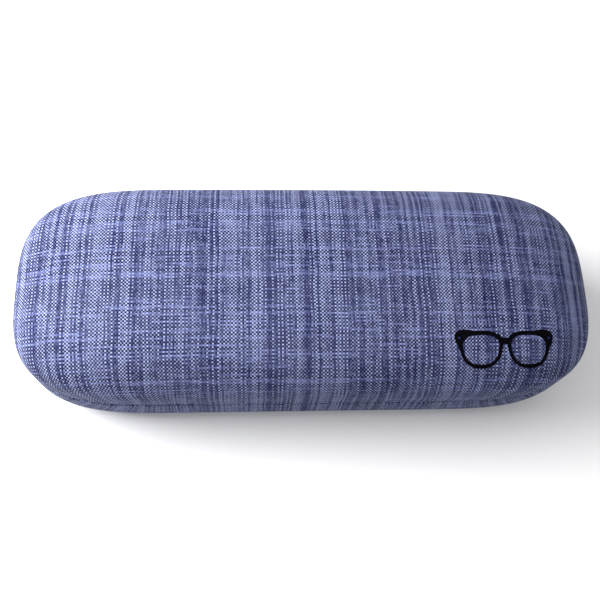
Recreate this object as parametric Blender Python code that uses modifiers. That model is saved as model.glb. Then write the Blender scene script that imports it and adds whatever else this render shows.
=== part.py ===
"""Hard eyeglasses case: two drawn steel shells, cloth covered, flock lined, joined by a snap hinge.

Frame: origin under the middle of the base where it rests, +Z up, +X to the right along the
length, -Y towards the front, where the case opens. The hinge is along the back edge, at +Y.
"""

from math import acos, cos, hypot, pi, radians, sin, sqrt

import bmesh
import bpy
from mathutils import Matrix, Vector

MM = 0.001

# ---- Driving dimensions -------------------------------------------------------------------------
LENGTH = 162.0 * MM  # over the cloth, along X
DEPTH = 62.0 * MM  # over the cloth, along Y, without the hinge strip's swell
HEIGHT = 38.0 * MM
PARTING = 18.5 * MM  # height of the plane where the lid meets the base
END_LENGTH = 44.0 * MM  # length of each rounded end
END_POWER = 3.25  # superellipse power of the plan outline's ends
LID_POWER = 2.9  # superellipse power of the lid's cross-section
BASE_POWER = 3.0
LID_END_DROP = 0.20  # share of its height that the lid loses at its ends
BASE_FLAT = 0.58  # share of the plan that is the flat resting face

# Layers of the wall, as depths below the cloth's outer surface: (nearest, furthest).
COVER = (0.0 * MM, 0.5 * MM)
FOAM = (0.7 * MM, 1.6 * MM)
SHELL = (1.85 * MM, 2.2 * MM)
HEM_FACE = 3.0 * MM  # inner face of the turned-in cloth
LINER = (3.25 * MM, 4.05 * MM)

# Heights of each layer's edge above or below the parting plane.
ROLL_RADIUS = HEM_FACE / 2  # the cloth turns round the shell's edge
ROLL_EDGE = 0.15 * MM
HEM_HEIGHT = 4.5 * MM
FOAM_EDGE = 2.3 * MM
SHELL_EDGE = 1.5 * MM
LINER_EDGE = 0.5 * MM
WALL_TOP = 4.6 * MM  # the wall is upright as far as here

# Hinge, along the back edge.
PIVOT_DEPTH = 0.45 * MM
PIN_RADIUS = 0.45 * MM
BORE_RADIUS = 0.57 * MM
KNUCKLE_RADIUS = 0.95 * MM
LEAF = (1.15 * MM, 1.6 * MM)  # depths of the leaf plates
LEAF_START = 22.0 * MM  # from the middle, along X
LEAF_LENGTH = 22.0 * MM
LEAF_HEIGHT = 6.8 * MM
LEAF_CLEAR = 1.45 * MM  # height of the leaf plate's edge, clear of the other leaf's knuckles
TAB_OVERLAP = 0.3 * MM  # each knuckle's tab runs this far into its plate
KNUCKLES = 5
KNUCKLE_GAP = 0.3 * MM
RIVET_POSITIONS = (27.5 * MM, 38.5 * MM)
RIVET_HEIGHT = 4.2 * MM
RIVET_SHANK = 0.75 * MM
RIVET_HOLE = 0.95 * MM
RIVET_HEAD = (1.4 * MM, 0.25 * MM)  # radius, thickness
RIVET_TAIL = (1.15 * MM, 0.25 * MM)
RIVET_GAP = 0.2 * MM
RIVET_HEAD_FLAT = 0.75  # share of the head's radius that is flat on top
RIVET_HEAD_RIM = 0.4  # share of the head's thickness that its rim keeps
RIVET_TAIL_FLAT = 0.8
PIN_OVERHANG = 0.4 * MM
PIN_ROUNDING = 0.15 * MM

# Snap spring: a slit steel tube whose lips hook through a slot in each shell.
SPRING_LENGTH = 38.0 * MM
SPRING_RADIUS = 4.4 * MM
SPRING_SHEET = 0.4 * MM
SPRING_HOOK = 3.7 * MM  # height of the lips where they pass the shells' walls
SPRING_LIP = 1.0 * MM  # the lips end this far inside the hinge axis
SLOT = (2.6 * MM, 4.5 * MM)  # heights; roomy, because the lips shift as the lid turns
SLOT_LENGTH = 40.0 * MM

# Pocket that both liners leave for the spring, and the cloth strip over the hinge.
POCKET_LENGTH = 45.0 * MM
POCKET_DEPTH = 11.2 * MM
POCKET_HEIGHT = 7.0 * MM
POCKET_SHEET = 0.8 * MM
POCKET_BITE = 0.2 * MM  # the pocket's walls start this far inside the liner's own faces
WINDOW_LENGTH = 92.0 * MM
WINDOW_HEIGHT = 7.5 * MM
STRIP_CLEAR = 0.3 * MM
STRIP_SHEET = 0.45 * MM
STRIP_SWELL = 1.2 * MM  # the strip stands this far proud over the knuckles
SWELL_FULL = 1.2 * MM  # height from the hinge axis up to which the swell is full
SWELL_END = 3.6 * MM

# Mesh fineness.
END_STEPS = 18
SIDE_STEPS = 4
WALL_STEPS = 6
ROLL_STEPS = 5
ROUND_STEPS = 12
SPRING_STEPS = 28
STRIP_STEPS = 24
SHARP_ANGLE = radians(35)
PIN_EDGE_ANGLE = radians(60)
MERGE = 0.01 * MM
CUT_PAST = 2.0 * MM  # cutters run this far past what they cut

HALF_DEPTH = DEPTH / 2
STRAIGHT = LENGTH / 2 - END_LENGTH  # half of the outline's straight side
PIVOT_Y = HALF_DEPTH - PIVOT_DEPTH
SHELL_MIDDLE = sum(SHELL) / 2
HOOK_Y = HALF_DEPTH - SHELL_MIDDLE

# ---- Scene, collections and materials -----------------------------------------------------------
for old in list(bpy.data.objects):
    bpy.data.objects.remove(old)


def new_collection(name):
    made = bpy.data.collections.new(name)
    bpy.context.scene.collection.children.link(made)
    return made


CASE = new_collection("eyeglasses_case")
CUTTERS = new_collection("cutters")


def finish_of(name, colour, roughness, metallic=0.0):
    """A plain Principled material."""
    material = bpy.data.materials.new(name)
    material.use_nodes = True
    shader = material.node_tree.nodes["Principled BSDF"]
    shader.inputs["Base Color"].default_value = (*colour, 1.0)
    shader.inputs["Roughness"].default_value = roughness
    shader.inputs["Metallic"].default_value = metallic
    material.diffuse_color = (*colour, 1.0)
    return material


CLOTH = finish_of("woven_cloth", (0.16, 0.18, 0.38), 0.85)
SPONGE = finish_of("foam", (0.80, 0.80, 0.78), 0.95)
DRAWN_STEEL = finish_of("shell_steel", (0.55, 0.56, 0.57), 0.45, 1.0)
FLOCK = finish_of("flock", (0.045, 0.047, 0.055), 0.95)
BRIGHT_STEEL = finish_of("hinge_steel", (0.68, 0.68, 0.67), 0.30, 1.0)
SPRING_STEEL = finish_of("spring_steel", (0.42, 0.43, 0.45), 0.28, 1.0)


# ---- Axes that the moving pieces are parented to ------------------------------------------------
def axis_at(name, centre):
    """An empty on a hinge line, which the pieces that turn about it are parented to."""
    made = bpy.data.objects.new(name, None)
    made.empty_display_size = KNUCKLE_RADIUS
    made.location = centre
    CASE.objects.link(made)
    return made


LID_AXIS = axis_at("lid_axis", (0.0, PIVOT_Y, PARTING))
SPRING_AXIS = axis_at("spring_axis", (0.0, HOOK_Y, PARTING - SPRING_HOOK))


def hang(piece, axis):
    """Parents a piece to an axis without moving it."""
    piece.parent = axis
    piece.location -= axis.location


# ---- Helpers ------------------------------------------------------------------------------------
def object_of(name, bm, material=None, helper=False):
    """Turns a bmesh into a named object: a part, or a cutter that the build leaves out."""
    mesh = bpy.data.meshes.new(name)
    bm.to_mesh(mesh)
    bm.free()
    made = bpy.data.objects.new(name, mesh)
    (CUTTERS if helper else CASE).objects.link(made)
    if helper:
        made.hide_render = True
        made.display_type = "WIRE"
    else:
        mesh.materials.append(material)
        mesh.shade_smooth()
        mesh.set_sharp_from_angle(angle=SHARP_ANGLE)
    return made


def box(name, low, high, helper=True, material=None):
    """A box between two corners."""
    bm = bmesh.new()
    size = Vector(high) - Vector(low)
    place = Matrix.Translation((Vector(high) + Vector(low)) / 2)
    bmesh.ops.create_cube(bm, size=1.0, matrix=place @ Matrix.Diagonal((*size, 1.0)))
    return object_of(name, bm, material, helper)


def rod(name, centre, radius, length, axis, helper=True, material=None):
    """A round rod along X or Y, centred on a point."""
    bm = bmesh.new()
    turn = Matrix.Rotation(pi / 2, 4, "Y" if axis == "X" else "X")
    bmesh.ops.create_cone(
        bm, cap_ends=True, segments=ROUND_STEPS, radius1=radius, radius2=radius,
        depth=length, matrix=Matrix.Translation(centre) @ turn,
    )
    return object_of(name, bm, material, helper)


def boolean(target, other, operation):
    step = target.modifiers.new(f"{operation.lower()}_{other.name}", "BOOLEAN")
    step.operation = operation
    step.object = other


def solidify(target, layer):
    """Gives an open outer surface the wall that lies between two depths below it."""
    near, far = layer
    step = target.modifiers.new("wall", "SOLIDIFY")
    step.thickness = far - near
    step.offset = -1.0 - 2.0 * near / (far - near)
    step.use_even_offset = True


# ---- Plan outline and cross-sections ------------------------------------------------------------
def plan_outline():
    """Points round the plan as (spine x, reach x, reach y), anticlockwise from the right end's front."""
    points = []
    for side in (1, -1):
        for step in range(END_STEPS + 1):
            turn = -pi / 2 + pi * step / END_STEPS
            shares = abs(cos(turn) / END_LENGTH), abs(sin(turn) / HALF_DEPTH)
            reach = side * sum(share**END_POWER for share in shares) ** (-1 / END_POWER)
            points.append((side * STRAIGHT, reach * cos(turn), reach * sin(turn)))
        for step in range(1, SIDE_STEPS):
            along = STRAIGHT * (1 - 2 * step / SIDE_STEPS)
            points.append((side * along, 0.0, side * HALF_DEPTH))
    return points


def outward_normals(points):
    """Unit normals in plan, from each point's neighbours."""
    normals = []
    for index, _ in enumerate(points):
        before = points[index - 1]
        after = points[(index + 1) % len(points)]
        dx = after[0] + after[1] - before[0] - before[1]
        dy = after[2] - before[2]
        normals.append((dy / hypot(dx, dy), -dx / hypot(dx, dy)))
    return normals


OUTLINE = plan_outline()
NORMALS = outward_normals(OUTLINE)


def crown(height, section_power, flat=0.0):
    """Rings from the wall's top to the middle line, as (share of the plan, inset, height)."""
    rings = []
    for step in range(1, WALL_STEPS + 1):
        turn = pi / 2 * step / WALL_STEPS
        share = flat + (1 - flat) * abs(cos(turn)) ** (2 / section_power)
        rise = (height - WALL_TOP) * sin(turn) ** (2 / section_power)
        rings.append((share, 0.0, WALL_TOP + rise))
    if flat:
        rings.append((0.0, 0.0, height))
    else:
        rings[-1] = (0.0, 0.0, height)
    return rings


def wall(edge):
    """The upright stretch of wall, from a layer's edge up."""
    return [(1.0, 0.0, edge), (1.0, 0.0, WALL_TOP)]


def rolled_wall():
    """The cloth's path: up from the end of the hem, round the shell's edge, and up the outside."""
    centre = ROLL_EDGE + ROLL_RADIUS
    path = [(1.0, HEM_FACE, HEM_HEIGHT)]
    for step in range(ROLL_STEPS + 1):
        turn = pi * step / ROLL_STEPS
        inset = ROLL_RADIUS * (1 + cos(turn))
        path.append((1.0, inset, centre - ROLL_RADIUS * sin(turn)))
    return path + [(1.0, 0.0, WALL_TOP)]


def bowl(name, rings, side, material, end_drop=0.0):
    """An open bowl lofted through rings of the plan outline: side 1 is the lid, -1 is the base."""
    bm = bmesh.new()
    bmesh.ops.create_grid(bm, x_segments=len(OUTLINE), y_segments=len(rings) - 1, size=0.5)
    bm.verts.ensure_lookup_table()
    for vertex in bm.verts:
        around = round((vertex.co.x + 0.5) * len(OUTLINE)) % len(OUTLINE)
        up = round((vertex.co.y + 0.5) * (len(rings) - 1))
        spine, reach_x, reach_y = OUTLINE[around]
        share, inset, height = rings[up]
        x = spine + share * reach_x - inset * NORMALS[around][0]
        y = share * reach_y - inset * NORMALS[around][1]
        drop = end_drop * (x / (LENGTH / 2)) ** 2 * max(0.0, height - WALL_TOP)
        vertex.co = (x, y, PARTING + side * (height - drop))
    bmesh.ops.remove_doubles(bm, verts=bm.verts, dist=MERGE)
    if side < 0:
        bmesh.ops.reverse_faces(bm, faces=bm.faces)
    return object_of(name, bm, material)


HALVES = {
    "lid": (1, crown(HEIGHT - PARTING, LID_POWER), LID_END_DROP),
    "base": (-1, crown(PARTING, BASE_POWER, BASE_FLAT), 0.0),
}


# ---- The two halves: cover, foam, shell and liner -----------------------------------------------
WINDOW = box(
    "hinge_window",
    (-WINDOW_LENGTH / 2, HALF_DEPTH - HEM_FACE - CUT_PAST, PARTING - WINDOW_HEIGHT),
    (WINDOW_LENGTH / 2, HALF_DEPTH + CUT_PAST, PARTING + WINDOW_HEIGHT),
)


def cover(half):
    """Cloth over the outside, turned in round the shell's edge and cut away over the hinge."""
    side, rings, drop = HALVES[half]
    made = bowl(f"{half}_cover", rolled_wall() + rings, side, CLOTH, drop)
    solidify(made, COVER)
    boolean(made, WINDOW, "DIFFERENCE")


def foam(half):
    """Thin sponge between the cloth and the shell, which makes the case soft to the touch."""
    side, rings, drop = HALVES[half]
    made = bowl(f"{half}_foam", wall(FOAM_EDGE) + rings, side, SPONGE, drop)
    solidify(made, FOAM)
    boolean(made, WINDOW, "DIFFERENCE")


def shell(half):
    """Drawn steel pan with a slot for the spring's lip and four rivet holes at the back."""
    side, rings, drop = HALVES[half]
    made = bowl(f"{half}_shell", wall(SHELL_EDGE) + rings, side, DRAWN_STEEL, drop)
    solidify(made, SHELL)
    near, far = sorted(PARTING + side * height for height in SLOT)
    slot = box(
        f"{half}_slot",
        (-SLOT_LENGTH / 2, HALF_DEPTH - SHELL[1] - CUT_PAST, near),
        (SLOT_LENGTH / 2, HALF_DEPTH, far),
    )
    boolean(made, slot, "DIFFERENCE")
    for number, x in enumerate(rivet_places(), start=1):
        centre = (x, HOOK_Y, PARTING + side * RIVET_HEIGHT)
        hole = rod(f"{half}_shell_hole_{number}", centre, RIVET_HOLE, 2 * CUT_PAST, "Y")
        boolean(made, hole, "DIFFERENCE")


def liner(half):
    """Flocked tray, with a pocket at the back that leaves room for the snap spring."""
    side, rings, drop = HALVES[half]
    made = bowl(f"{half}_liner", wall(LINER_EDGE) + rings, side, FLOCK, drop)
    solidify(made, LINER)
    rim = PARTING + side * (LINER_EDGE + POCKET_BITE)
    floor = PARTING + side * POCKET_HEIGHT
    block = box(
        f"{half}_pocket_block",
        (-POCKET_LENGTH / 2, HALF_DEPTH - POCKET_DEPTH, min(rim, floor)),
        (POCKET_LENGTH / 2, HALF_DEPTH - LINER[0] - POCKET_BITE, max(rim, floor)),
    )
    boolean(made, block, "UNION")
    inside = POCKET_LENGTH / 2 - POCKET_SHEET
    floor -= side * POCKET_SHEET
    top = PARTING - side * CUT_PAST
    room = box(
        f"{half}_pocket_room",
        (-inside, HALF_DEPTH - POCKET_DEPTH + POCKET_SHEET, min(floor, top)),
        (inside, HALF_DEPTH, max(floor, top)),
    )
    boolean(made, room, "DIFFERENCE")


def rivet_places():
    return [side * x for side in (-1, 1) for x in RIVET_POSITIONS]


# ---- Hinge: leaves, rivets, pin, spring and strip -----------------------------------------------
def leaf(half, hand):
    """Leaf plate with its knuckles: the base has the odd ones, the lid the even ones."""
    side = HALVES[half][0]
    name = f"{half}_hinge_leaf_{'right' if hand > 0 else 'left'}"
    low_y, high_y = HALF_DEPTH - LEAF[1], HALF_DEPTH - LEAF[0]
    start, end = sorted((hand * LEAF_START, hand * (LEAF_START + LEAF_LENGTH)))
    near, far = sorted((PARTING + side * LEAF_CLEAR, PARTING + side * LEAF_HEIGHT))
    made = box(name, (start, low_y, near), (end, high_y, far), False, BRIGHT_STEEL)
    pitch = (LEAF_LENGTH + KNUCKLE_GAP) / KNUCKLES
    width = pitch - KNUCKLE_GAP
    for number in range(0 if half == "base" else 1, KNUCKLES, 2):
        middle = start + width / 2 + number * pitch
        barrel = rod(
            f"{name}_knuckle_{number}", (middle, PIVOT_Y, PARTING), KNUCKLE_RADIUS, width, "X"
        )
        root = PARTING + side * (LEAF_CLEAR + TAB_OVERLAP)
        tab = box(
            f"{name}_tab_{number}",
            (middle - width / 2, low_y, min(PARTING, root)),
            (middle + width / 2, high_y, max(PARTING, root)),
        )
        boolean(made, tab, "UNION")
        boolean(made, barrel, "UNION")
    centre = (hand * (LEAF_START + LEAF_LENGTH / 2), PIVOT_Y, PARTING)
    bore = rod(f"{name}_bore", centre, BORE_RADIUS, LEAF_LENGTH + CUT_PAST, "X")
    boolean(made, bore, "DIFFERENCE")
    for number, x in enumerate(RIVET_POSITIONS, start=1):
        place = (hand * x, HALF_DEPTH - LEAF[0], PARTING + side * RIVET_HEIGHT)
        hole = rod(f"{name}_hole_{number}", place, RIVET_HOLE, 2 * CUT_PAST, "Y")
        boolean(made, hole, "DIFFERENCE")


def rivet(name, x, side):
    """A turned rivet through leaf and shell: flat head outside, spread tail inside."""
    head_radius, head_height = RIVET_HEAD
    tail_radius, tail_height = RIVET_TAIL
    head_face = -(LEAF[0] - RIVET_GAP)
    tail_face = -(SHELL[1] + RIVET_GAP)
    profile = [
        (0.0, head_face + head_height),
        (head_radius * RIVET_HEAD_FLAT, head_face + head_height),
        (head_radius, head_face + head_height * RIVET_HEAD_RIM),
        (head_radius, head_face),
        (RIVET_SHANK, head_face),
        (RIVET_SHANK, tail_face),
        (tail_radius, tail_face),
        (tail_radius * RIVET_TAIL_FLAT, tail_face - tail_height),
        (0.0, tail_face - tail_height),
    ]
    bm = bmesh.new()
    points = [bm.verts.new((radius, 0.0, height)) for radius, height in profile]
    for first, second in zip(points, points[1:]):
        bm.edges.new((first, second))
    made = object_of(name, bm, BRIGHT_STEEL)
    turn = made.modifiers.new("turned", "SCREW")
    turn.axis = "Z"
    turn.steps = turn.render_steps = ROUND_STEPS
    turn.use_merge_vertices = True
    turn.merge_threshold = MERGE
    made.rotation_euler = (-pi / 2, 0.0, 0.0)
    made.location = (x, HALF_DEPTH, PARTING + side * RIVET_HEIGHT)


def pin():
    """One wire through all the knuckles, with rounded ends."""
    length = 2 * (LEAF_START + LEAF_LENGTH + PIN_OVERHANG)
    made = rod("hinge_pin", (0, PIVOT_Y, PARTING), PIN_RADIUS, length, "X", False, BRIGHT_STEEL)
    edge = made.modifiers.new("rounded_ends", "BEVEL")
    edge.width = PIN_ROUNDING
    edge.segments = 2
    edge.limit_method = "ANGLE"
    edge.angle_limit = PIN_EDGE_ANGLE


def spring_section():
    """The slit tube's centre line and the half angle of its slit, seen along the hinge."""
    from_hook = sqrt(SPRING_RADIUS**2 - SPRING_HOOK**2)
    centre_y = HOOK_Y - from_hook
    lip = PIVOT_Y - SPRING_LIP - centre_y
    return centre_y, acos(lip / SPRING_RADIUS)


def snap_spring():
    """A slit tube of spring steel: an arc, extruded along X and given its sheet's thickness."""
    centre_y, slit = spring_section()
    bm = bmesh.new()
    bmesh.ops.create_grid(bm, x_segments=1, y_segments=SPRING_STEPS, size=0.5)
    for vertex in bm.verts:
        turn = slit + (2 * pi - 2 * slit) * (vertex.co.y + 0.5)
        vertex.co = (
            vertex.co.x * SPRING_LENGTH,
            centre_y + SPRING_RADIUS * cos(turn),
            PARTING + SPRING_RADIUS * sin(turn),
        )
    made = object_of("snap_spring", bm, SPRING_STEEL)
    sheet = made.modifiers.new("sheet", "SOLIDIFY")
    sheet.thickness = SPRING_SHEET
    sheet.offset = 0.0
    sheet.use_even_offset = True


def strip():
    """Cloth strip glued across the hinge, flush with the covers and swelling over the knuckles."""
    half_height = WINDOW_HEIGHT - STRIP_CLEAR
    half_length = WINDOW_LENGTH / 2 - STRIP_CLEAR
    bm = bmesh.new()
    bmesh.ops.create_grid(bm, x_segments=1, y_segments=STRIP_STEPS, size=0.5)
    for vertex in bm.verts:
        height = 2 * half_height * vertex.co.y
        reach = min(1.0, max(0.0, (SWELL_END - abs(height)) / (SWELL_END - SWELL_FULL)))
        swell = STRIP_SWELL * reach**2 * (3 - 2 * reach)
        vertex.co = (2 * half_length * vertex.co.x, HALF_DEPTH + swell, PARTING + height)
    bmesh.ops.reverse_faces(bm, faces=bm.faces)
    made = object_of("hinge_strip", bm, CLOTH)
    sheet = made.modifiers.new("sheet", "SOLIDIFY")
    sheet.thickness = STRIP_SHEET
    sheet.offset = -1.0
    sheet.use_even_offset = True


# ---- Build --------------------------------------------------------------------------------------
for half in HALVES:
    cover(half)
    foam(half)
    shell(half)
    liner(half)
    for hand in (-1, 1):
        leaf(half, hand)
    for number, x in enumerate(rivet_places(), start=1):
        rivet(f"{half}_rivet_{number}", x, HALVES[half][0])
pin()
snap_spring()
strip()

for piece in CASE.objects:
    if piece.name.startswith("lid_") and piece is not LID_AXIS:
        hang(piece, LID_AXIS)
hang(CASE.objects["snap_spring"], SPRING_AXIS)
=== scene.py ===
# %% [markdown]
# # A cloth-covered eyeglasses case
# A hard case is two drawn steel pans, padded with sponge, wrapped in woven cloth and lined with a flocked
# tray. The solid model already holds every part at full size. This script keeps its steelwork and
# makes fine surfaces for what the eye sees: the cloth, the sponge, the trays, the strip over the hinge,
# the snap spring and the print on the lid.

# %% Load the solid model
from math import pi, radians, tan

import bmesh
import bpy
import numpy as np
from mathutils import Matrix, Vector


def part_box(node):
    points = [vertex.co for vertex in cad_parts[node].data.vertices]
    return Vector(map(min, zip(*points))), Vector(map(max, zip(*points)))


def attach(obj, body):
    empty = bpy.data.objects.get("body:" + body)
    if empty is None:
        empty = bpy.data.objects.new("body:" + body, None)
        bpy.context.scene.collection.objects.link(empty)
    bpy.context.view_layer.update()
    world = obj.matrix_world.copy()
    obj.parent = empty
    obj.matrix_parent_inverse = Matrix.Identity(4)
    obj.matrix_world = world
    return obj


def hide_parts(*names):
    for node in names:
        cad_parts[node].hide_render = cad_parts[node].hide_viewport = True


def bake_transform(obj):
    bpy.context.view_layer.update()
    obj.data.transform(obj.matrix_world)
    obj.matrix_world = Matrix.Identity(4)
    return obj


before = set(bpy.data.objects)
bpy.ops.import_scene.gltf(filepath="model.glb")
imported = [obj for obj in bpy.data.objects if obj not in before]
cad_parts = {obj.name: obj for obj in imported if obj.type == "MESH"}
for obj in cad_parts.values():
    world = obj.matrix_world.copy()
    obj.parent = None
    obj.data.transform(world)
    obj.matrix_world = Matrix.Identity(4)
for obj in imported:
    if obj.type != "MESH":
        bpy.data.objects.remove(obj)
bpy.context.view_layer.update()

# %% [markdown]
# ## The case's own measures
# The outline is a long pill: two straight sides and two superelliptic ends. A superellipse is an ellipse
# whose power is above 2, which fills its corners. The same curve stood on edge gives the cross-section.
# The overall sizes are read from the solid model, so the cloth can't drift away from the steel in it.
# Each half has a side, up or down from the parting plane, and a crown with its own power. Flat is the share
# of the plan that stays level, and drop is the share of the crown's rise that is lost at the tips.

# %% Measures
MM = 0.001
cover_low, cover_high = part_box("lid_cover")
base_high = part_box("base_cover")[1]
HALF_LENGTH = cover_high.x
HALF_DEPTH = -cover_low.y
PARTING = (cover_low.z + base_high.z) / 2
END_LENGTH, END_POWER = 44.0 * MM, 3.25
STRAIGHT = HALF_LENGTH - END_LENGTH
WALL_TOP = 4.6 * MM
HALVES = {
    "lid": {"side": 1, "height": cover_high.z - PARTING, "power": 2.9, "flat": 0.0, "drop": 0.20},
    "base": {"side": -1, "height": PARTING, "power": 3.0, "flat": 0.58, "drop": 0.0},
}
WINDOW_X, WINDOW_HEIGHT = 46.0 * MM, 7.5 * MM
print(f"outline {2 * HALF_LENGTH / MM:.1f} by {2 * HALF_DEPTH / MM:.1f} mm")
print(f"parting plane {PARTING / MM:.2f} mm up")

# %% [markdown]
# ## Columns: points round the outline
# A loft needs the same count of points in every ring. Equal steps of angle would crowd the flat tip of
# each end and starve its corners, so the angle is worked out very finely and then read off at equal
# steps of length. One more column stands on each side where the cloth is cut away over the hinge.

# %% Columns
FINE, FLAT_STEPS = 4001, 500  # points on a finely worked curve, and across a level crown
END_COLUMNS, SIDE_COLUMNS = 64, 75


def superellipse(turn, wide, high, power):
    """Polar form: the reach at an angle is (|cos/a|^p + |sin/b|^p)^(-1/p)."""
    shares = np.abs(np.cos(turn)) / wide, np.abs(np.sin(turn)) / high
    return (shares[0] ** power + shares[1] ** power) ** (-1 / power)


def end_reach(turn):
    """How far an end's outline lies along X and Y at an angle."""
    reach = superellipse(turn, END_LENGTH, HALF_DEPTH, END_POWER)
    return reach * np.cos(turn), reach * np.sin(turn)


def even_steps(across, up, count):
    """Where to read a fine path so that its length is cut into equal parts."""
    length = np.append(0.0, np.cumsum(np.hypot(np.diff(across), np.diff(up))))
    return np.interp(np.linspace(0.0, length[-1], count + 1), length, np.arange(len(length)))


def columns(end_count, side):
    """Spine, reach and plan normal of each column, anticlockwise from the right end's front corner."""
    fine = np.linspace(-pi / 2, pi / 2, FINE)
    turn = np.interp(even_steps(*end_reach(fine), end_count), np.arange(FINE), fine)
    quarter = fine[fine >= 0][::-1]
    cut = np.interp(WINDOW_X - STRAIGHT, end_reach(quarter)[0], quarter)
    turn = np.sort(np.concatenate((turn, [-cut, cut])))
    reach_x, reach_y = end_reach(turn)
    flat, full = np.zeros_like(side), np.full_like(side, HALF_DEPTH)
    right, left = np.full_like(turn, STRAIGHT), np.full_like(turn, -STRAIGHT)
    spine = np.concatenate((right, -side, left, side))
    x = np.concatenate((reach_x, flat, -reach_x, flat))
    y = np.concatenate((reach_y, full, -reach_y, -full))
    along_x = np.roll(spine + x, -1) - np.roll(spine + x, 1)
    along_y = np.roll(y, -1) - np.roll(y, 1)
    size = np.hypot(along_x, along_y)
    return {"spine": spine, "x": x, "y": y, "nx": along_y / size, "ny": -along_x / size}


def even_columns(end_count, side_count):
    """Columns with evenly spaced ones along the straight sides."""
    return columns(end_count, np.linspace(-STRAIGHT, STRAIGHT, side_count)[1:-1])


CLOTH_COLUMNS = even_columns(END_COLUMNS, SIDE_COLUMNS)
print(len(CLOTH_COLUMNS["spine"]), "columns round the cloth")

# %% [markdown]
# ## Rings: the cloth's path up the wall and over the crown
# Seen in section, the cloth starts as a hem inside the case, rolls round the steel's edge, climbs the
# wall and closes over the crown. A ring is one point of that path: the share of the plan it keeps, how
# far it is inset, and its height from the parting plane. One ring lies where the cloth is cut for the hinge.

# %% Rings
HEM_FACE, HEM_HEIGHT = 3.0 * MM, 4.5 * MM
ROLL_RADIUS, ROLL_EDGE = HEM_FACE / 2, 0.10 * MM
HEM_STEPS, ROLL_STEPS, WALL_RINGS, CROWN_RINGS = 6, 17, 5, 54


def crown(half, count):
    """Quarter superellipse: share = flat + (1 - flat)·cos^(2/p), height = wall + rest·sin^(2/p)."""
    turn, power, flat = np.linspace(0.0, pi / 2, FINE), 2 / half["power"], half["flat"]
    share = flat + (1 - flat) * np.abs(np.cos(turn)) ** power
    height = WALL_TOP + (half["height"] - WALL_TOP) * np.sin(turn) ** power
    if flat:
        share = np.append(share, np.linspace(flat, 0.0, FLAT_STEPS)[1:])
        height = np.append(height, np.full(FLAT_STEPS - 1, half["height"]))
    where = even_steps(share * HALF_DEPTH, height, count)
    where = np.sort(np.append(where, np.interp(WINDOW_HEIGHT, height[:FINE], np.arange(FINE))))
    steps = np.arange(len(share))
    rings = np.stack((np.interp(where, steps, share), 0 * where, np.interp(where, steps, height)))
    rings[0, -1] = 0.0  # the last ring closes exactly on the middle line
    return rings


def upright(edge, count):
    """A straight stretch of wall from its edge up to where the crown begins."""
    height = np.linspace(edge, WALL_TOP, count, endpoint=False)
    return np.stack((np.ones_like(height), 0 * height, height))


def hem_and_roll():
    """Down the hem's face, then half a circle: inset = r(1 + cos), height = centre - r·sin."""
    centre = ROLL_EDGE + ROLL_RADIUS
    hem = np.linspace(HEM_HEIGHT, centre, HEM_STEPS)[:-1]
    turn = np.linspace(0.0, pi, ROLL_STEPS)
    inset = np.append(np.full_like(hem, HEM_FACE), ROLL_RADIUS * (1 + np.cos(turn)))
    height = np.append(hem, centre - ROLL_RADIUS * np.sin(turn))
    return np.stack((np.ones_like(height), inset, height))


def cloth_rings(half):
    """The whole path of the cloth: hem, roll, wall and crown."""
    wall = upright(ROLL_EDGE + ROLL_RADIUS, WALL_RINGS)[:, 1:]
    return np.hstack((hem_and_roll(), wall, crown(half, CROWN_RINGS)))


print(cloth_rings(HALVES["lid"]).shape[1], "rings in the lid's cloth")

# %% [markdown]
# ## A bowl from rings and columns
# Multiplying every ring by every column gives a whole grid of points at once, which is far quicker than
# visiting each vertex. Near the middle line the grid closes on itself, so its doubled points are merged.
# The grid also gives the cloth a flat pattern for its weave: the distance from the middle line, measured
# over the surface, laid out in the column's own direction. It is kept as a UV map in millimetres.

# %% Grid helpers
MERGE, SHARP = 0.002 * MM, radians(40)


def placed(name, data):
    """Puts a mesh, a lamp or a camera into the scene as an object."""
    thing = bpy.data.objects.new(name, data)
    bpy.context.scene.collection.objects.link(thing)
    return thing


def smoothed(mesh):
    """Shades a mesh smoothly, apart from its sharp edges."""
    mesh.shade_smooth()
    mesh.set_sharp_from_angle(angle=SHARP)


def bowl_points(half, rings, round_columns):
    """Point = spine + share·reach - inset·normal in plan; height less the drop towards the ends."""
    c = round_columns
    share, inset, height = (row[:, None] for row in rings)
    x = c["spine"] + share * c["x"] - inset * c["nx"]
    y = share * c["y"] - inset * c["ny"]
    drop = half["drop"] * (x / HALF_LENGTH) ** 2 * np.maximum(0.0, height - WALL_TOP)
    return np.stack((x, y, PARTING + half["side"] * (height - drop)), axis=-1)


def flat_pattern(points, c):
    """Distance over the surface from the middle line, laid out along each column's direction, in mm."""
    step = np.linalg.norm(np.diff(points, axis=0), axis=-1)
    far = np.vstack((np.cumsum(step[::-1], axis=0)[::-1], np.zeros_like(step[:1])))
    size = np.hypot(c["x"], c["y"])
    return np.stack((c["spine"] + far * c["x"] / size, far * c["y"] / size), axis=-1) / MM


def grid_faces(rows, count, closed, flip):
    """The four corners of each cell, in the order that makes the face look outwards."""
    index = np.arange(rows * count).reshape(rows, count)
    across = np.roll(index, -1, axis=1) if closed else index[:, 1:]
    index = index if closed else index[:, :-1]
    corners = [index[:-1], across[:-1], across[1:], index[1:]]
    return np.stack(corners[::-1] if flip else corners, axis=-1)


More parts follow.
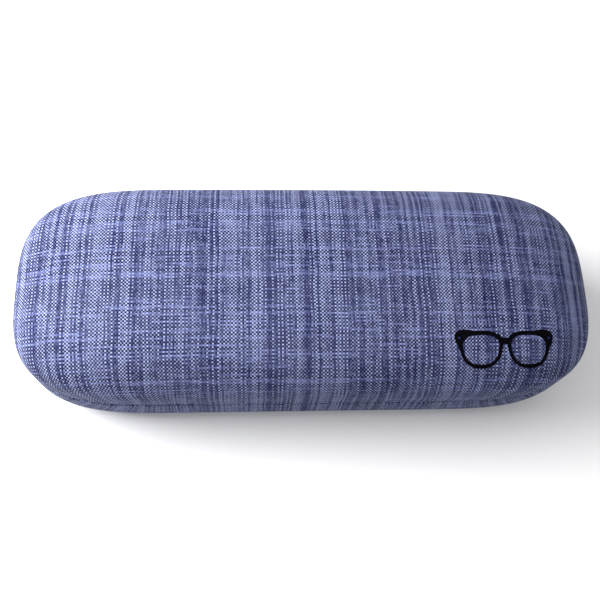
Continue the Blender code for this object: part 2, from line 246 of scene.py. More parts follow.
def mesh_of(name, points, faces, pattern):
    """Puts a grid into a new mesh object with its UV map, and merges doubled points."""
    mesh = bpy.data.meshes.new(name)
    mesh.from_pydata(points.reshape(-1, 3).tolist(), [], faces.reshape(-1, 4).tolist())
    loops = np.empty(len(mesh.loops), dtype=np.int32)
    mesh.loops.foreach_get("vertex_index", loops)
    layer = mesh.uv_layers.new(name="cloth")
    layer.data.foreach_set("uv", pattern.reshape(-1, 2)[loops].astype(np.float32).ravel())
    bm = bmesh.new()
    bm.from_mesh(mesh)
    bmesh.ops.remove_doubles(bm, verts=bm.verts, dist=MERGE)
    loose = [vertex for vertex in bm.verts if not vertex.link_faces]
    bmesh.ops.delete(bm, geom=loose, context="VERTS")
    bm.to_mesh(mesh)
    bm.free()
    return placed(name, mesh)


def with_wall(piece, thickness, offset, even=True):
    """Gives a surface its thickness with Solidify, keeps the result and marks its sharp edges."""
    step = piece.modifiers.new("wall", "SOLIDIFY")
    step.thickness, step.offset, step.use_even_offset = thickness, offset, even
    bpy.context.view_layer.update()
    finished = piece.evaluated_get(bpy.context.evaluated_depsgraph_get())
    solid = bpy.data.meshes.new_from_object(finished)
    piece.modifiers.clear()
    piece.data = solid
    solid.name = piece.name
    smoothed(solid)
    solid.calc_loop_triangles()
    print(piece.name, len(solid.loop_triangles), "triangles")
    return piece


def flat_size(pattern, hole=0.0):
    """Width, length and area of a flat pattern: shoelace rule round its edge, less a hole, in metres."""
    edge = pattern[0] * MM
    after = np.roll(edge, -1, axis=0)
    area = abs(np.sum(edge[:, 0] * after[:, 1] - after[:, 0] * edge[:, 1])) / 2 - hole
    width, length = np.ptp(edge[:, 1]), np.ptp(edge[:, 0])
    return (float(width), float(length)), float(area)


# %% [markdown]
# ## Writing a finish as plain maths
# A node material is a sum drawn as boxes and wires. Written as Python, one small class stands for a
# wire: adding or multiplying two wires adds the Math node that does it. The Nodes class adds every other
# kind of node, and Finish is a set of nodes with a material round it. Its steady values, such as a
# sheen, are set on the shader itself, and only what varies is wired.

# %% Finish and Wire
class Wire:
    """A value that flows between nodes. Sums on wires add Math nodes."""

    def __init__(self, nodes, socket):
        self.nodes, self.socket = nodes, socket

    def math(self, operation, *values):
        inputs = dict(enumerate((self, *values)))
        return self.nodes.node("ShaderNodeMath", {"operation": operation}, inputs)

    def __add__(self, other):
        return self.math("ADD", other)

    def __sub__(self, other):
        return self.math("SUBTRACT", other)

    def __mul__(self, other):
        return self.math("MULTIPLY", other)

    def __truediv__(self, other):
        return self.math("DIVIDE", other)

    def __rsub__(self, other):
        return self.nodes.node("ShaderNodeMath", {"operation": "SUBTRACT"}, {0: other, 1: self})

    __radd__, __rmul__ = __add__, __mul__

    def power(self, exponent):
        return self.math("POWER", exponent)

    def size(self):
        return self.math("ABSOLUTE")

    def smooth(self, low, high):
        """0 below one value, 1 above the other, and a smooth step between them."""
        inputs = {"Value": self, "From Min": low, "From Max": high}
        return self.nodes.node("ShaderNodeMapRange", {"interpolation_type": "SMOOTHSTEP"}, inputs)


class Nodes:
    """A set of nodes that grows by one at a time."""

    def __init__(self, tree):
        self.tree = tree

    def node(self, kind, settings=(), inputs=(), output=0):
        """Adds a node: its settings first, then its values and links."""
        made = self.tree.nodes.new(kind)
        for name, value in dict(settings).items():
            setattr(made, name, value)
        for name, value in dict(inputs).items():
            if isinstance(value, Wire):
                self.tree.links.new(value.socket, made.inputs[name])
            else:
                made.inputs[name].default_value = value
        return Wire(self, made.outputs[output])


class Finish(Nodes):
    """One material. Plain values go straight on its shader; node() adds whatever varies."""

    def __init__(self, name, **plain):
        self.material = bpy.data.materials.new(name)
        self.material.use_nodes = True
        super().__init__(self.material.node_tree)
        self.shader = self.tree.nodes["Principled BSDF"]
        for socket, value in plain.items():
            self.shader.inputs[socket.replace("_", " ")].default_value = value

    def mix(self, share, first, second):
        """Mixes two colours."""
        first, second = ((*c, 1.0) if isinstance(c, tuple) else c for c in (first, second))
        return self.node("ShaderNodeMix", {"data_type": "RGBA"}, {0: share, 6: first, 7: second}, 2)

    def place(self):
        """The point's own place in the model."""
        return self.node("ShaderNodeTexCoord", output=3)

    def pattern(self):
        """The cloth's flat pattern, in millimetres, as two wires."""
        flat = self.node("ShaderNodeUVMap", {"uv_map": "cloth"})
        return [self.node("ShaderNodeSeparateXYZ", inputs={0: flat}, output=n) for n in (0, 1)]

    def point(self, x, y, z=0.0):
        return self.node("ShaderNodeCombineXYZ", inputs={0: x, 1: y, 2: z})

    def noise(self, at, scale, detail=2.0, rough=0.5):
        inputs = {"Vector": at, "Scale": scale, "Detail": detail, "Roughness": rough}
        return self.node("ShaderNodeTexNoise", inputs=inputs)

    def white_noise(self, dimensions, **inputs):
        """A number that has nothing to do with its neighbours' numbers."""
        return self.node("ShaderNodeTexWhiteNoise", {"noise_dimensions": dimensions}, inputs)

    def bump(self, height, distance, strength=1.0, onto=None):
        inputs = {"Height": height, "Distance": distance, "Strength": strength}
        if onto:
            inputs["Normal"] = onto
        return self.node("ShaderNodeBump", inputs=inputs)

    def wire(self, **links):
        """Wires what varies to the shader."""
        for socket, value in links.items():
            self.tree.links.new(value.socket, self.shader.inputs[socket.replace("_", " ")])
        print(self.material.name, len(self.tree.nodes), "nodes")
        return self.material


# %% [markdown]
# ## Woven cloth
# The cover is a plain weave: pale lavender threads run front to back and navy threads run along the
# case, each passing over and under in turn. Which one is on top is a chessboard, the sign of one sine
# times another. Real linen-look yarn is uneven, so every thread gets its own shade, from noise that is
# stretched along it. The bump comes from the same sums, so light and colour agree.

# %% Weave
THREAD = 0.49  # mm from one thread to the next
PALE, WASHED = (0.280, 0.315, 0.525), (0.018, 0.024, 0.105)
MIDDLE, NAVY = (0.090, 0.104, 0.230), (0.0004, 0.0006, 0.014)
WANDER_X, WANDER_Y = 0.9, 0.7  # mm, the width of the band in which a thread strays
SLUB_X, SLUB_Y = 0.10, 0.09  # scale of the shade's noise along a thread; a small one gives long streaks
APART_X, APART_Y = 5.37, 5.19  # steps of noise between neighbouring threads
RIM_NEAR, RIM_FAR = 0.1 * MM, 1.3 * MM  # where the paler band along the rolled rim begins to fade, and where it ends


def weave(name):
    cloth = Finish(name, Sheen_Weight=0.04, Sheen_Roughness=0.5, Sheen_Tint=(0.72, 0.76, 1.0, 1.0),
                   Specular_IOR_Level=0.12)
    across, along = cloth.pattern()
    across = across + (cloth.noise(cloth.point(across, along), 0.11, 1.0) - 0.5) * WANDER_X
    along = along + (cloth.noise(cloth.point(along, across, 7.0), 0.09, 1.0) - 0.5) * WANDER_Y
    warp_at, weft_at = across / THREAD, along / THREAD
    warp_number, weft_number = warp_at.math("FLOOR"), weft_at.math("FLOOR")
    warp_round = (warp_at * pi).math("SINE")
    weft_round = (weft_at * pi).math("SINE")

    # Each thread's own shade, changing slowly along its length.
    warp_own = cloth.white_noise("1D", W=warp_number)
    weft_own = cloth.white_noise("1D", W=weft_number + 0.5)
    warp_slub = cloth.noise(cloth.point(warp_number * APART_X, along * SLUB_Y, 3.0), 1.0, 2.0, 0.6)
    weft_slub = cloth.noise(cloth.point(across * SLUB_X, weft_number * APART_Y, 11.0), 1.0, 2.0, 0.6)
    crossing_own = cloth.white_noise("2D", Vector=cloth.point(warp_number, weft_number))

    # Pale warp and navy weft take turns on top. Here and there a stretch of weft is a paler blue.
    crossing = warp_round * weft_round
    warp_up = crossing.smooth(-0.06, 0.22)
    warp_tint = (warp_own * 0.34 + warp_slub * 0.54 + crossing_own * 0.12).smooth(0.27, 0.72)
    weft_tint = (weft_own * 0.26 + weft_slub * 0.74).smooth(0.49, 0.74)
    warp_colour = cloth.mix(warp_tint, WASHED, PALE)
    weft_colour = cloth.mix(weft_tint, NAVY, MIDDLE)
    colour = cloth.mix(warp_up, weft_colour, warp_colour)

    # Broad, slightly paler patches, a painted highlight standing in for the sheen of a gently wavy surface,
    # and a patchy paler band along the rolled rim.
    painted_highlight_cloud = cloth.noise(cloth.place(), 55.0, 3.0, 0.6)
    colour = cloth.mix(painted_highlight_cloud.smooth(0.35, 0.7) * 0.05, colour, PALE)
    height = cloth.node("ShaderNodeSeparateXYZ", inputs={0: cloth.place()}, output=2)
    # A patchy paler band along the rolled rim, within about a millimetre of the parting plane.
    rim = 1 - (height - PARTING).size().smooth(RIM_NEAR, RIM_FAR)
    rim_patches = cloth.noise(cloth.place(), 900.0, 2.0).smooth(0.45, 0.75)
    colour = cloth.mix(rim * rim_patches * 0.35, colour, PALE)

    fibre = cloth.noise(cloth.point(across, along), 9.0, 3.0, 0.7)
    thread_height = crossing.size().power(0.6) * 0.8 + warp_up * 0.2 + fibre * 0.25
    normal = cloth.bump(thread_height, 0.06 * MM, 0.8)
    return cloth.wire(Base_Color=colour, Roughness=fibre * 0.15 + 0.75, Normal=normal)


WOVEN = weave("woven_cloth")

# %% [markdown]
# ## Cloth covers
# Each half's cloth is one sheet stretched over the sponge and turned in round the steel. Cutting it from a
# solid would leave a blunt edge, so the surface follows the sheet's real path and Solidify gives it its
# half millimetre. The blank's flat size is measured from the pattern that the weave uses. Round the ends
# the turned-in hem has more cloth than room, so it puckers a little.

# %% Covers
CLOTH_SHEET = 0.5 * MM
PUCKER, PUCKER_WAVE, PUCKER_FADE = 0.15 * MM, 2.6 * MM, 0.2 * END_LENGTH


def pucker(points, rings, c):
    """Lifts the hem off the steel by a raised sine along the rim, only at the rounded ends."""
    rim = points[0]
    along = np.append(0.0, np.cumsum(np.linalg.norm(np.diff(rim, axis=0), axis=1)))
    on_hem = np.clip((rings[1] - ROLL_RADIUS) / ROLL_RADIUS, 0.0, 1.0)[:, None]
    at_end = np.clip(np.abs(c["x"]) / PUCKER_FADE, 0.0, 1.0)
    wave = 0.5 + 0.5 * np.sin(2 * pi * along / PUCKER_WAVE + 1.3 * np.sin(along / (7 * MM)))
    lift = PUCKER * wave * at_end * on_hem
    return points - np.stack((lift * c["nx"], lift * c["ny"], 0 * lift), axis=-1)


def outside_window(points):
    """True for cells that are kept: not at the back, near the middle and near the parting plane."""
    beside = np.roll(points, -1, axis=1)
    middle = (points[:-1] + beside[:-1] + points[1:] + beside[1:]) / 4
    x, y, z = np.moveaxis(middle, -1, 0)
    return ~((np.abs(x) < WINDOW_X) & (y > HALF_DEPTH / 2) & (np.abs(z - PARTING) < WINDOW_HEIGHT))


def sheet_over(name, half, rings, c, finish):
    """One sheet over a half: the grid, cut away over the hinge."""
    points = bowl_points(half, rings, c)
    pattern = flat_pattern(points, c)
    if rings[1].max() > 0:
        points = pucker(points, rings, c)
    faces = grid_faces(*points.shape[:2], True, half["side"] < 0)[outside_window(points)]
    piece = mesh_of(name, points, faces, pattern)
    piece.data.materials.append(finish)
    return piece, pattern


covers = {}
for name, half in HALVES.items():
    cover, pattern = sheet_over(f"{name}_cloth", half, cloth_rings(half), CLOTH_COLUMNS, WOVEN)
    with_wall(cover, CLOTH_SHEET, -1.0)
    blank, area = flat_size(pattern, 2 * WINDOW_X * (WINDOW_HEIGHT + HEM_FACE + HEM_HEIGHT))
    print(cover.name, "blank", [round(side / MM) for side in blank], "mm", round(area * 1e4), "cm2")
    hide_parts(f"{name}_cover")
    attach(cover, name)
    covers[name] = (cover, blank, area)

# %% [markdown]
# ## Sponge
# Under the cloth lies a thin open-cell sponge, which rounds the steel and gives softly under a finger.
# The cloth hides nearly all of it. Its cells are a Voronoi pattern: pale walls round holes painted darker, a
# painted shade in the hollow pores.

# %% Sponge finish and pieces
FOAM_NEAR, FOAM_FAR, FOAM_EDGE = 0.7 * MM, 1.6 * MM, 2.3 * MM
FOAM_END_COLUMNS, FOAM_SIDE_COLUMNS, FOAM_WALL_RINGS, FOAM_CROWN_RINGS = 36, 31, 4, 30


def sponge_finish():
    sponge = Finish("sponge", Roughness=0.95, Specular_IOR_Level=0.2)
    cells = sponge.node("ShaderNodeTexVoronoi", {"feature": "DISTANCE_TO_EDGE"},
                        {"Vector": sponge.place(), "Scale": 3200.0})
    wall = 1 - cells.smooth(0.02, 0.22)
    age = sponge.noise(sponge.place(), 70.0, 3.0)
    tone = sponge.mix(age.smooth(0.3, 0.7), (0.80, 0.79, 0.74), (0.74, 0.69, 0.55))
    # Painted shade: the hollows between the cell walls take the darker colour.
    colour = sponge.mix(wall, (0.42, 0.40, 0.34), tone)
    return sponge.wire(Base_Color=colour, Normal=sponge.bump(wall, 0.12 * MM, 0.7))


SPONGE = sponge_finish()
FOAM_COLUMNS = even_columns(FOAM_END_COLUMNS, FOAM_SIDE_COLUMNS)
for name, half in HALVES.items():
    rings = np.hstack((upright(FOAM_EDGE, FOAM_WALL_RINGS), crown(half, FOAM_CROWN_RINGS)))
    sponge, pattern = sheet_over(f"{name}_sponge", half, rings, FOAM_COLUMNS, SPONGE)
    thick = FOAM_FAR - FOAM_NEAR
    with_wall(sponge, thick, -1.0 - 2.0 * FOAM_NEAR / thick)
    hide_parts(f"{name}_foam")
    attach(sponge, name)
    blank, area = flat_size(pattern, 2 * WINDOW_X * (WINDOW_HEIGHT - FOAM_EDGE))
    cover, blank, area = covers[name]

# %% [markdown]
# ## Flocked trays
# The lining is a thin tray, formed over a mould and sprayed with short fibres that stand up like velvet.
# At the back it swells in over the snap spring. That swelling isn't a block stuck on: the tray's own back
# wall is eased inwards by a share that fades smoothly to nothing, so the formed skin stays in one piece.

# %% Flock
def flock_finish():
    flock = Finish("flock", Roughness=0.95, Sheen_Weight=0.7, Sheen_Roughness=0.35,
                   Sheen_Tint=(0.70, 0.74, 0.90, 1.0), Specular_IOR_Level=0.15)
    fibre = flock.noise(flock.place(), 5200.0, 2.0, 0.7)
    stroke = flock.noise(flock.place(), 120.0, 4.0, 0.6)
    lint = flock.node("ShaderNodeTexVoronoi", inputs={"Vector": flock.place(), "Scale": 240.0})
    tone = flock.mix(stroke.smooth(0.30, 0.70), (0.024, 0.026, 0.037), (0.037, 0.040, 0.055))
    colour = flock.mix(fibre.smooth(0.4, 0.8) * 0.6, tone, (0.105, 0.110, 0.140))
    colour = flock.mix((1 - lint.smooth(0.02, 0.06)) * 0.35, colour, (0.30, 0.31, 0.34))
    normal = flock.bump(stroke, 0.25 * MM, 0.35, onto=flock.bump(fibre, 0.10 * MM, 0.9))
    return flock.wire(Base_Color=colour, Normal=normal)


FLOCK = flock_finish()

# %% Trays
TRAY_DEPTH, TRAY_SHEET, TRAY_EDGE = 4.05 * MM, 0.8 * MM, 0.5 * MM
TRAY_END_COLUMNS, TRAY_WALL_RINGS, TRAY_CROWN_RINGS = 54, 12, 90
POCKET_FACE = HALF_DEPTH - 11.2 * MM
POCKET_FULL, POCKET_END, POCKET_HEIGHT, POCKET_POWER = 19.9 * MM, 22.5 * MM, 7.6 * MM, 2.5
SIDE_X = np.concatenate((
    np.linspace(0.0, POCKET_FULL, 17),
    POCKET_FULL + (POCKET_END - POCKET_FULL) * np.sin(np.linspace(0.0, pi / 2, 15))[1:],
    np.linspace(POCKET_END, STRAIGHT, 13)[1:-1],
))
TRAY_COLUMNS = columns(TRAY_END_COLUMNS, np.concatenate((-SIDE_X[:0:-1], SIDE_X)))


def vertex_arrays(mesh):
    """Places and normals of all vertices, as arrays."""
    places, normals = (np.empty(3 * len(mesh.vertices), dtype=np.float32) for _ in range(2))
    mesh.vertices.foreach_get("co", places)
    mesh.vertex_normals.foreach_get("vector", normals)
    return places.reshape(-1, 3), normals.reshape(-1, 3)


def ease(value):
    """A superelliptic fade: (1 - v^p)^(1/p), 1 at 0 and 0 at 1."""
    return (1 - np.clip(value, 0.0, 1.0) ** POCKET_POWER) ** (1 / POCKET_POWER)


def push_pocket(places):
    """Eases the back wall towards the pocket's face by a share that fades along X and with height."""
    x, y, z = places.T
    share = ease((np.abs(x) - POCKET_FULL) / (POCKET_END - POCKET_FULL))
    share = share * ease(np.abs(z - PARTING) / POCKET_HEIGHT)
    moved = places.copy()
    moved[:, 1] -= share * np.maximum(0.0, y - POCKET_FACE)
    return moved


for name, half in HALVES.items():
    rings = np.hstack((upright(TRAY_EDGE, TRAY_WALL_RINGS), crown(half, TRAY_CROWN_RINGS)))
    points = bowl_points(half, rings, TRAY_COLUMNS)
    faces = grid_faces(*points.shape[:2], True, half["side"] < 0)
    tray = mesh_of(f"{name}_tray", points, faces, flat_pattern(points, TRAY_COLUMNS))
    places, normals = vertex_arrays(tray.data)
    tray.data.vertices.foreach_set("co", push_pocket(places - TRAY_DEPTH * normals).ravel())
    tray.data.update()
    tray.data.materials.append(FLOCK)
    with_wall(tray, TRAY_SHEET, 1.0, even=False)
    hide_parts(f"{name}_liner")
    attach(tray, name)

# %% [markdown]
# ## Strip over the hinge
# A strip of the same cloth is glued across the back. It hides the hinge and bends every time the case opens,
# so it can't belong to one half. It swells over the knuckles and dies away at its ends.

# %% Strip
STRIP_SHEET, STRIP_CLEAR = 0.45 * MM, 0.06 * MM
SWELL, SWELL_FULL, SWELL_END, SWELL_FADE = 1.2 * MM, 1.2 * MM, 3.6 * MM, 1.6 * MM
STRIP_MIDDLE, STRIP_TIP, STRIP_ROWS = 61, 17, 73  # points along its middle and its ends, and up it


def smooth_step(value):
    """3v^2 - 2v^3: 0 below 0, 1 above 1, and smooth between them."""
    value = np.clip(value, 0.0, 1.0)
    return value * value * (3 - 2 * value)


def outline_y(x):
    """The back of the plan at x: b(1 - |x/a|^p)^(1/p) beyond the straight side."""
    past = np.maximum(0.0, np.abs(x) - STRAIGHT) / END_LENGTH
    return HALF_DEPTH * (1 - past**END_POWER) ** (1 / END_POWER)


def share_at(height, half):
    """The share of the plan left at a height: the crown's formula turned round."""
    rise = np.clip((height - WALL_TOP) / (half["height"] - WALL_TOP), 0.0, 1.0)
    return (1 - rise ** half["power"]) ** (1 / half["power"])


def strip_points():
    """Flush with the covers, plus a swell that falls off smoothly with height and near the ends."""
    reach = WINDOW_X - STRIP_CLEAR
    middle = np.linspace(-reach + 2 * SWELL_FADE, reach - 2 * SWELL_FADE, STRIP_MIDDLE)
    tip = np.linspace(0.0, 2 * SWELL_FADE, STRIP_TIP)[1:]
    x = np.concatenate((middle[0] - tip[::-1], middle, middle[-1] + tip))
    height = np.linspace(-1, 1, STRIP_ROWS) * (WINDOW_HEIGHT - STRIP_CLEAR)
    share = np.where(height > 0, share_at(height, HALVES["lid"]), 1.0)
    swell = SWELL * smooth_step((SWELL_END - np.abs(height)) / (SWELL_END - SWELL_FULL))
    fade = smooth_step((reach - np.abs(x)) / SWELL_FADE)
    y = outline_y(x) * share[:, None] + swell[:, None] * fade
    drop = HALVES["lid"]["drop"] * (x / HALF_LENGTH) ** 2 * np.maximum(0.0, height[:, None] - WALL_TOP)
    return np.stack(np.broadcast_arrays(x, y, PARTING + height[:, None] - drop), axis=-1)


points = strip_points()
climb = np.linalg.norm(np.diff(points[:, points.shape[1] // 2], axis=0), axis=1)
climb = np.append(0.0, np.cumsum(climb))
pattern = np.stack(np.broadcast_arrays(points[..., 0], climb[:, None] + HALF_DEPTH), axis=-1) / MM
faces = grid_faces(*points.shape[:2], False, True)
back_strip = mesh_of("back_strip", points, faces, pattern)
back_strip.data.materials.append(WOVEN)
with_wall(back_strip, STRIP_SHEET, -1.0)
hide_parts("hinge_strip")
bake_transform(back_strip)

# %% [markdown]
# ## Metals
# The steel pans are drawn and left bare, the hinge is nickel plated and the spring is hardened and blued.
# All three are one recipe with different numbers: drawing lines from noise stretched along one direction,
# blotches from broad noise, and fine scratches. Bright metal looks flat without small changes of gloss.

# %% Metal finishes
def metal(name, bright, dull, gloss, grain, lines, deep):
    """Grain is the noise's scale along X, Y and Z: a small number stretches the lines that way."""
    steel = Finish(name, Metallic=1.0)
    stretched = steel.node("ShaderNodeMapping", inputs={"Vector": steel.place(), "Scale": grain})
    drawn = steel.noise(stretched, 1.0, 3.0, 0.6)
    blotch = steel.noise(steel.place(), 160.0, 3.0)
    scratch = steel.noise(stretched, lines, 1.0).smooth(0.62, 0.72)
    colour = steel.mix((drawn * 0.6 + blotch * 0.4).smooth(0.35, 0.65), dull, bright)
    colour = steel.mix(scratch * 0.35, colour, bright)
    rough = gloss + (blotch - 0.5) * 0.2 + scratch * 0.12 + (drawn - 0.5) * 0.1
    return steel.wire(Base_Color=colour, Roughness=rough, Normal=steel.bump(drawn, deep, 0.5))


PAN_STEEL = metal("drawn_steel", (0.62, 0.63, 0.64), (0.44, 0.44, 0.45), 0.42,
                  grain=(700, 700, 90), lines=3.0, deep=0.02 * MM)
NICKEL = metal("nickel_plate", (0.78, 0.775, 0.76), (0.66, 0.655, 0.64), 0.26,
               grain=(260, 2600, 2600), lines=2.0, deep=0.004 * MM)
BLUED = metal("blued_spring_steel", (0.46, 0.48, 0.54), (0.25, 0.27, 0.33), 0.30,
              grain=(200, 1800, 1800), lines=2.5, deep=0.01 * MM)

finishes = {"shell": PAN_STEEL, "leaf": NICKEL, "rivet": NICKEL, "pin": NICKEL}
for name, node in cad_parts.items():
    for word, finish in finishes.items():
        if word in name:
            for place in node.material_slots:
                place.material = finish
            print(name, "is", finish.name)

# %% [markdown]
# ## Snap spring
# The snap is a slit tube of hardened sheet: its lips hook the two pans and pull them shut or hold them
# open. A tube primitive has no slit, so an arc is carried along the hinge line instead. A fine bevel lets
# the edges of its lips catch the light.

# %% Spring
SPRING_RADIUS, SPRING_SHEET, SPRING_LENGTH = 4.4 * MM, 0.4 * MM, 38.0 * MM
SPRING_Y, SPRING_SLIT = 26.569 * MM, radians(47.35)
SPRING_ARC_STEPS, SPRING_COLUMNS, EDGE_WIDTH = 97, 41, 0.06 * MM


def spring_points():
    """A circle's arc round the spring's own axis, from one lip to the other, carried along X."""
    turn = np.linspace(SPRING_SLIT, 2 * pi - SPRING_SLIT, SPRING_ARC_STEPS)[:, None]
    x = np.linspace(-0.5, 0.5, SPRING_COLUMNS) * SPRING_LENGTH
    y, z = SPRING_Y + SPRING_RADIUS * np.cos(turn), PARTING + SPRING_RADIUS * np.sin(turn)
    return np.stack(np.broadcast_arrays(x, y, z), axis=-1)


points = spring_points()
faces = grid_faces(*points.shape[:2], False, True)
snap_tube = mesh_of("snap_tube", points, faces, points[..., :2] / MM)
snap_tube.data.materials.append(BLUED)
with_wall(snap_tube, SPRING_SHEET, 0.0)
edge = snap_tube.modifiers.new("edge", "BEVEL")
edge.width, edge.segments, edge.limit_method, edge.angle_limit = EDGE_WIDTH, 2, "ANGLE", radians(60)
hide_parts("snap_spring")
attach(snap_tube, "spring")

# %% [markdown]
# ## Printed spectacles
# A small pair of spectacles is printed in black at the lid's right front corner. Screen-printed ink lies
# on the threads, so it is a thin skin that follows the crown. Each rim is a ring between an inner and an
# outer curve, thicker along the brow, with a small blue dot near its corner. The design is a generic one.

# %% Print
PRINT_X, PRINT_Y, PRINT_TILT = 52.3 * MM, -20.5 * MM, 0.024
EYE_X, EYE_WIDE, EYE_HIGH, EYE_POWER = 6.7 * MM, 4.9 * MM, 3.8 * MM, 2.7
RIM_WIDTH, BROW_EXTRA, CORNER_EXTRA = 1.0, 0.15, 1.9  # mm
DOT_X, DOT_Y, DOT_SIZE = 12.7, 3.1, 0.36  # mm from the print's middle
RIM_COLUMNS, RIM_ROWS, BRIDGE_COLUMNS = 120, 7, 17
INK_LIFT, INK_SHEET = 0.03 * MM, 0.05 * MM


def lid_height(x, y):
    """The crown's height over a plan point, from the share of the outline at which it lies."""
    lid = HALVES["lid"]
    past = np.maximum(0.0, np.abs(x) - STRAIGHT) / END_LENGTH
    share = (past**END_POWER + np.abs(y / HALF_DEPTH) ** END_POWER) ** (1 / END_POWER)
    share = np.clip(share, 0.0, 1.0)
    rise = (lid["height"] - WALL_TOP) * (1 - share ** lid["power"]) ** (1 / lid["power"])
    return PARTING + WALL_TOP + rise * (1 - lid["drop"] * (x / HALF_LENGTH) ** 2)


def rim_points(hand):
    """Inner curve: a superellipse narrowed downwards. Outer curve: the same plus the rim's width."""
    turn = np.linspace(0.0, 2 * pi, RIM_COLUMNS + 1)[:-1]
    reach = superellipse(turn, EYE_WIDE, EYE_HIGH, EYE_POWER)
    brow = smooth_step((np.sin(turn) + 0.1) / 0.9)
    corner = smooth_step((np.cos(turn) - 0.2) / 0.7) * brow
    full_width = RIM_WIDTH + BROW_EXTRA * brow + CORNER_EXTRA * corner
    width = np.linspace(0.0, 1.0, RIM_ROWS)[:, None] * full_width * MM
    across = (reach + width) * np.cos(turn)
    up = (reach + width) * np.sin(turn)
    across = across * (1 + 0.13 * up / EYE_HIGH)
    return PRINT_X + hand * (EYE_X + across), PRINT_Y + up


def bridge_points():
    """A short arched bar between the rims."""
    along, over = np.meshgrid(np.linspace(-1, 1, BRIDGE_COLUMNS), np.linspace(0, 1, RIM_ROWS))
    gap = EYE_X - EYE_WIDE - 0.1 * MM
    arch = 3.0 * MM + 0.35 * MM * along**2 - over * (1.7 + 0.9 * along**2) * MM
    return PRINT_X + along * gap, PRINT_Y + arch


def inked(name, x, y, closed, flip):
    """Lays plan points on the crown, just proud of the cloth, and gives the ink its thickness."""
    pattern = np.stack((x - PRINT_X, y - PRINT_Y), axis=-1) / MM
    y = y + PRINT_TILT * (x - PRINT_X)
    points = np.stack((x, y, lid_height(x, y) + INK_LIFT), axis=-1)
    piece = mesh_of(name, points, grid_faces(*points.shape[:2], closed, flip), pattern)
    return with_wall(piece, INK_SHEET, 1.0)


def joined(name, parts):
    """Gathers finished parts into one piece."""
    bm = bmesh.new()
    for part in parts:
        bm.from_mesh(part.data)
        bpy.data.objects.remove(part)
    mesh = bpy.data.meshes.new(name)
    bm.to_mesh(mesh)
    bm.free()
    smoothed(mesh)
    return placed(name, mesh)


def ink_finish():
    ink = Finish("black_ink", Specular_IOR_Level=0.02)
    across, along = ink.pattern()
    threads = ((across * (pi / THREAD)).math("SINE") * (along * (pi / THREAD)).math("SINE")).size()
    patch = ink.noise(ink.place(), 1500.0, 3.0)
    colour = ink.mix(patch.smooth(0.45, 0.8), (0.001, 0.001, 0.002), (0.004, 0.004, 0.008))
    beside, over = across.size() - DOT_X, along - DOT_Y
    dot = 1 - (beside * beside + over * over).math("SQRT").smooth(DOT_SIZE * 0.75, DOT_SIZE)
    colour = ink.mix(dot * 0.9, colour, WASHED)
    normal = ink.bump(threads + patch * 0.4, 0.05 * MM, 0.6)
    return ink.wire(Base_Color=colour, Roughness=patch * 0.2 + 0.5, Normal=normal)


printed_spectacles = joined("printed_spectacles", [
    inked("right_rim", *rim_points(1), True, True),
    inked("left_rim", *rim_points(-1), True, False),
    inked("bridge", *bridge_points(), False, True),
])
printed_spectacles.data.materials.append(ink_finish())
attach(printed_spectacles, "lid")

# %% [markdown]
# ## Floor, light and camera
# The case lies on a plain white table. A broad soft light stands close on the left, so the top fades from
# bright to dark across its length. The surround gets brighter with height and fills the shadows, while
# the camera sees it as an even pale backdrop. The camera looks down steeply from the front.

# %% Floor
def floor_finish():
    paper = Finish("pale_floor", Roughness=0.8, Specular_IOR_Level=0.1)
    tooth = paper.noise(paper.place(), 900.0, 3.0)
    colour = paper.mix(tooth, (0.87, 0.87, 0.88), (0.90, 0.90, 0.905))
    return paper.wire(Base_Color=colour, Normal=paper.bump(tooth, 0.02 * MM, 0.2))


FLOOR_REACH, FLOOR_BELOW = 2.0, 0.05 * MM
reach = np.linspace(-FLOOR_REACH, FLOOR_REACH, 3)
x, y = np.meshgrid(reach, reach)
points = np.stack((x, y, 0 * x - FLOOR_BELOW), axis=-1)
floor = mesh_of("floor", points, grid_faces(3, 3, False, False), points[..., :2] / MM)
floor.data.materials.append(floor_finish())

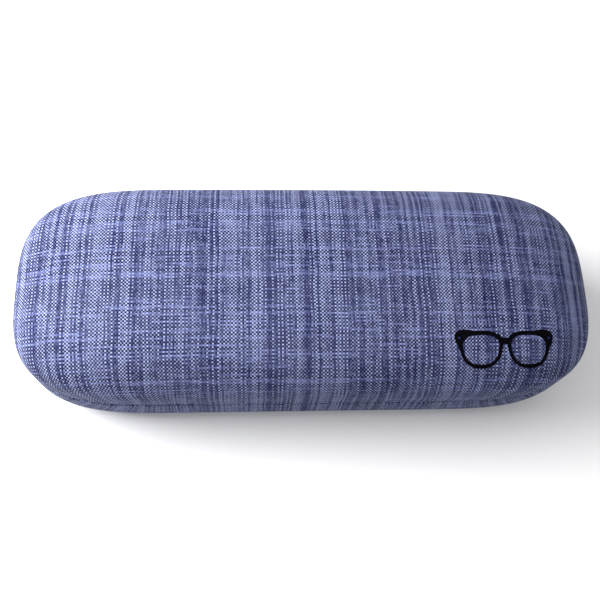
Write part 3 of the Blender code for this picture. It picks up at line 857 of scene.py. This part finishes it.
# %% Light
SKY_EDGE, SKY_TOP, BACKDROP = 0.16, 0.85, 0.9
SKY_HIGH = 0.9  # the upward part of a direction from which the sky is at its brightest
world = bpy.data.worlds.new("white_surround")
bpy.context.scene.world = world
world.use_nodes = True
sky = Nodes(world.node_tree)
facing = sky.node("ShaderNodeTexCoord", output="Generated")
upward = sky.node("ShaderNodeSeparateXYZ", inputs={0: facing}, output="Z")
fade = sky.node("ShaderNodeMapRange", {"interpolation_type": "SMOOTHSTEP"},
                {"Value": upward, "From Max": SKY_HIGH, "To Min": SKY_EDGE, "To Max": SKY_TOP})
seen = sky.node("ShaderNodeLightPath", output="Is Camera Ray")
strength = sky.node("ShaderNodeMix", inputs={"Factor": seen, "A": fade, "B": BACKDROP})
backdrop = sky.tree.nodes["Background"]
backdrop.inputs["Color"].default_value = (1.0, 1.0, 1.0, 1.0)
sky.tree.links.new(strength.socket, backdrop.inputs["Strength"])
bpy.context.scene.view_settings.view_transform = "Standard"


def soft_light(name, place, target, size, watts):
    """A square lamp that faces a point."""
    lamp = bpy.data.lights.new(name, "AREA")
    lamp.shape, lamp.size, lamp.energy = "SQUARE", size, watts
    stand = placed(name, lamp)
    stand.location = place
    stand.rotation_euler = (Vector(target) - Vector(place)).to_track_quat("-Z", "Y").to_euler()


soft_light("left_window", (-0.23, 0.08, 0.19), (-0.05, 0.0, 0.03), 0.26, 2.65)

# %% Camera
TILT_X, TILT_Y, ROLL = radians(-4.358), radians(20.358), radians(-1.718)
DISTANCE, LENS, SENSOR, NEAR = 0.2356, 48.54, 36.0, 0.01
SHIFT_X, SHIFT_Y = -0.0087, -0.0017
AIM = Vector((0.0, 0.0, 19 * MM))
back = Vector((tan(TILT_X), -tan(TILT_Y), 1.0)).normalized()
right = Vector((0.0, 1.0, 0.0)).cross(back).normalized()
turned = Matrix((right, back.cross(right), back)).transposed() @ Matrix.Rotation(ROLL, 3, "Z")
lens = bpy.data.cameras.new("camera")
lens.lens, lens.sensor_width, lens.clip_start = LENS, SENSOR, NEAR
lens.shift_x, lens.shift_y = SHIFT_X, SHIFT_Y
camera = placed("camera", lens)
camera.matrix_world = Matrix.Translation(AIM + back * DISTANCE) @ turned.to_4x4()
bpy.context.scene.camera = camera
print("camera at", [round(value, 4) for value in camera.matrix_world.translation])
